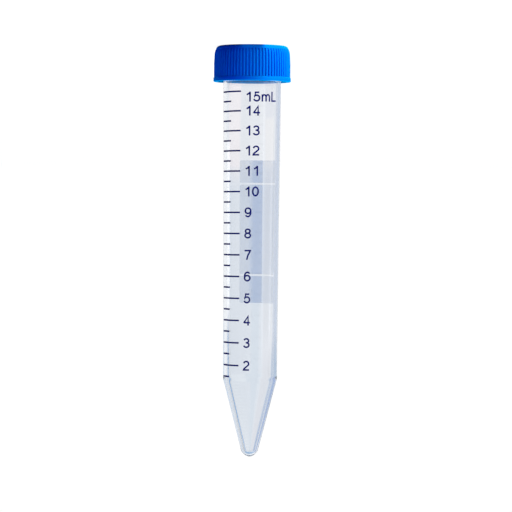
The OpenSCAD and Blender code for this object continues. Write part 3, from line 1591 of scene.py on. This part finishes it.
LOOKED_THROUGH = (0.128, 0.132, 0.137)
CARDS = (
    # on the side of +X
    Card(-34.0, 18.0, (0.10, 0.10, 0.105), blur=12.0),
    Card(12.0, 46.0, (0.035, 0.035, 0.04), blur=12.0),
    Card(46.0, 100.0, (0.05, 0.053, 0.055), low=-0.3, blur=5.0, fade=0.6),
    Card(46.0, 118.0, grey(0.01), low=4.0, high=36.0, blur=2.0),
    Card(20.0, 120.0, (0.02, 0.021, 0.022), low=36.0, blur=30.0, fade=6.0),
    Card(118.0, 170.0, (0.135, 0.14, 0.146), low=7.0, high=36.0, fade=2.0),
    Card(46.0, 118.0, (0.03, 0.03, 0.033), high=-8.5, fade=3.0),
    # low down, on the floor
    Card(-40.0, 20.0, grey(0.085), high=-16.0, blur=20.0),
    Card(20.0, 135.0, grey(0.01), high=-16.0, blur=20.0),
    Card(135.0, 215.0, (0.135, 0.145, 0.153), high=-16.0),
    # at the far side, which the plastic shows through
    Card(106.0, 119.0, grey(0.44), low=-1.3, high=3.6, blur=3.0, fade=0.8),
    Card(168.0, 183.5, (0.150, 0.155, 0.160), low=-0.4, blur=0.5),
    Card(168.0, 183.5, (0.160, 0.165, 0.168), low=6.0, blur=0.5),
    Card(160.8, 164.0, (0.015, 0.07, 0.145), low=3.8, high=36.0, blur=1.0),
    Card(180.0, 182.0, (0.141, 0.150, 0.157), low=2.9, high=6.0, blur=0.5),
    Card(178.8, 182.8, (0.140, 0.149, 0.156), low=6.0, blur=0.8),
    Card(183.5, 192.0, (0.148, 0.148, 0.151), blur=1.0),
    Card(183.5, 192.0, (0.139, 0.141, 0.144), low=-0.4, high=4.0, blur=1.0),
    Card(183.5, 192.0, (0.163, 0.159, 0.155), low=-5.0, high=-0.4, blur=1.0),
    Card(166.0, 177.0, (0.182, 0.171, 0.168), low=-16.0, high=-0.4, blur=1.0),
    # on the side of -X
    Card(197.0, 228.0, (0.112, 0.122, 0.140)),
    Card(193.0, 228.0, (0.085, 0.102, 0.125), low=4.5),
    Card(199.0, 220.0, (0.056, 0.073, 0.121), low=10.0, high=36.0, fade=3.0),
    Card(228.0, 262.0, (0.13, 0.13, 0.135), high=5.0),
    Card(262.0, 313.0, grey(0.34), high=5.0),
    Card(308.0, 313.0, grey(0.44), high=2.6, blur=1.5),
    Card(215.0, 340.0, grey(0.45), high=-16.0, blur=10.0),
    Card(230.0, 330.0, grey(0.28), low=38.0, high=66.0, blur=20.0, fade=6.0),
    # high up at the far side
    Card(125.0, 225.0, (0.066, 0.094, 0.13), low=36.0, blur=20.0, fade=4.0),
    # at the camera's side, for looks through the plastic from elsewhere
    Card(-130.0, 105.0, LOOKED_THROUGH, blur=10.0, only=Ray.TRANSMISSION),
    Card(-145.0, 105.0, LOOKED_THROUGH, high=-16.0, blur=2.0, only=Ray.TRANSMISSION),
)


@dataclass(frozen=True)
class Studio:
    """Pale floor, white surroundings and soft lamps."""

    floor_side: float = 8.0  # side of the floor, in metres
    floor_colour: Colour = (0.82, 0.83, 0.84)  # colour of the floor
    floor_glow: float = 0.72  # share of the floor that shows white whatever light falls on it
    floor_white: float = 1.19  # strength of that white
    sky_white: float = 1.02  # strength of the white beyond the floor
    cards: tuple[Card, ...] = CARDS  # uneven parts of the surroundings, the later over the earlier
    brightest: float = 6.0  # strength of a card of colour 1
    lamps: tuple[Softbox, ...] = (
        Softbox("key", (-0.56, -0.31, 0.22), 0.40, 1.0),
        Softbox("side", (0.50, -0.35, 0.25), 0.40, 2.1),
        Softbox("top", (-0.12, -0.22, 0.75), 0.50, 1.6),
        Softbox("back", (0.30, 0.50, 0.30), 0.40, 1.0),
    )

    def build(self, target: Vector) -> None:
        """Lays the floor, lights the world and hangs the lamps.

        Args:
            target: Point that the lamps face, in metres.
        """
        bpy.context.scene.view_settings.view_transform = "Standard"
        self._floor(target)
        self._surroundings()
        for lamp in self.lamps:
            lamp.hang(target)

    def _round_about(self, graph: Graph, heading: Wire) -> Wire:
        """Reads the colour of the surroundings in the direction of a vector.

        Args:
            graph: Tree to add to.
            heading: The vector.

        Returns:
            The colour.
        """
        across, depth, rise = graph.axes(heading)
        elevation = rise.angle_over((across * across + depth * depth) ** 0.5)
        azimuth = across.angle_over(0.0 - depth)
        colour: Wire | Colour = grey(1.0 / self.brightest)
        for card in self.cards:
            colour = graph.blend(card.mask(graph, azimuth, elevation), colour, card.colour)
        return colour

    def _shine(self, graph: Graph, heading: Wire, white: float) -> dict[str, Wire]:
        """Shows plain white to the camera, and the cards to all else.

        Args:
            graph: Tree to add to.
            heading: Direction to show.
            white: Strength of the plain white.

        Returns:
            Inputs of an emission or a background.
        """
        seen = graph.shown_to(Ray.CAMERA)
        return {
            "Color": graph.blend(seen, self._round_about(graph, heading), WHITE),
            "Strength": self.brightest - seen * (self.brightest - white),
        }

    def _floor(self, middle: Vector) -> None:
        """Lays a wide floor at height 0.

        Args:
            middle: Point that the floor's cards are laid out round, in metres.
        """
        bpy.ops.object.select_all(action="DESELECT")
        bpy.ops.mesh.primitive_plane_add(size=self.floor_side)
        floor = bpy.context.object
        floor.name = "floor"
        material, graph = new_material("pale_floor")
        material.cycles.emission_sampling = "NONE"
        matte = graph.add("BsdfDiffuse", None, {"Color": opaque(self.floor_colour)})
        shine = self._shine(graph, graph.place(Location=-middle), self.floor_white)
        glow = graph.add("Emission", None, shine)
        share = 1.0 - graph.shown_to(Ray.CAMERA) * (1.0 - self.floor_glow)
        graph.finish("OutputMaterial", graph.mix(share, matte, glow))
        dress(floor, material)
        floor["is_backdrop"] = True

    def _surroundings(self) -> None:
        """Makes the world white to the camera, and shows the cards to all else."""
        world = bpy.data.worlds.new("white_surroundings")
        world.use_nodes = True
        world.cycles.sampling_method = "NONE"
        bpy.context.scene.world = world
        graph = Graph(world.node_tree)
        heading = graph.add("TexCoord", output="Generated")
        shine = self._shine(graph, heading, self.sky_white)
        graph.finish("OutputWorld", graph.add("Background", None, shine))


# ---- the whole


def corners(box: tuple[Vector, Vector]) -> list[list[float]]:
    """Gives a box as two plain lists of numbers."""
    return [[float(number) for number in corner] for corner in box]


def main() -> None:
    """Loads the frame, builds the studio and the pieces around it, and notes the sizes."""
    logging.basicConfig(level=logging.INFO, format="%(name)s: %(message)s")
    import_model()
    cad_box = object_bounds()
    Viewpoint().place()
    Studio().build(target=(cad_box[0] + cad_box[1]) / 2)

    tube_low, tube_high = (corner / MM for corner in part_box("tube"))
    cap_low, cap_high = (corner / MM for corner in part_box("screw_cap"))
    tube = Tube(lip=tube_low.z, rim=cap_high.z, tip=tube_high.z)
    cap = ScrewCap(height=cap_high.z - cap_low.z, rim_r=cap_high.x)

    barrel = tube.build(ClearPlastic().build())
    cap.build(BluePlastic().build())
    Graduations(tube).build(barrel, NAVY_INK.build())
    WritingPanel(tube).build(barrel, WHITE_INK.build())

    sizes = {"cad": corners(cad_box), "visual": corners(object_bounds())}
    log.info("sizes: %s", sizes)


if __name__ == "__main__":
    main()
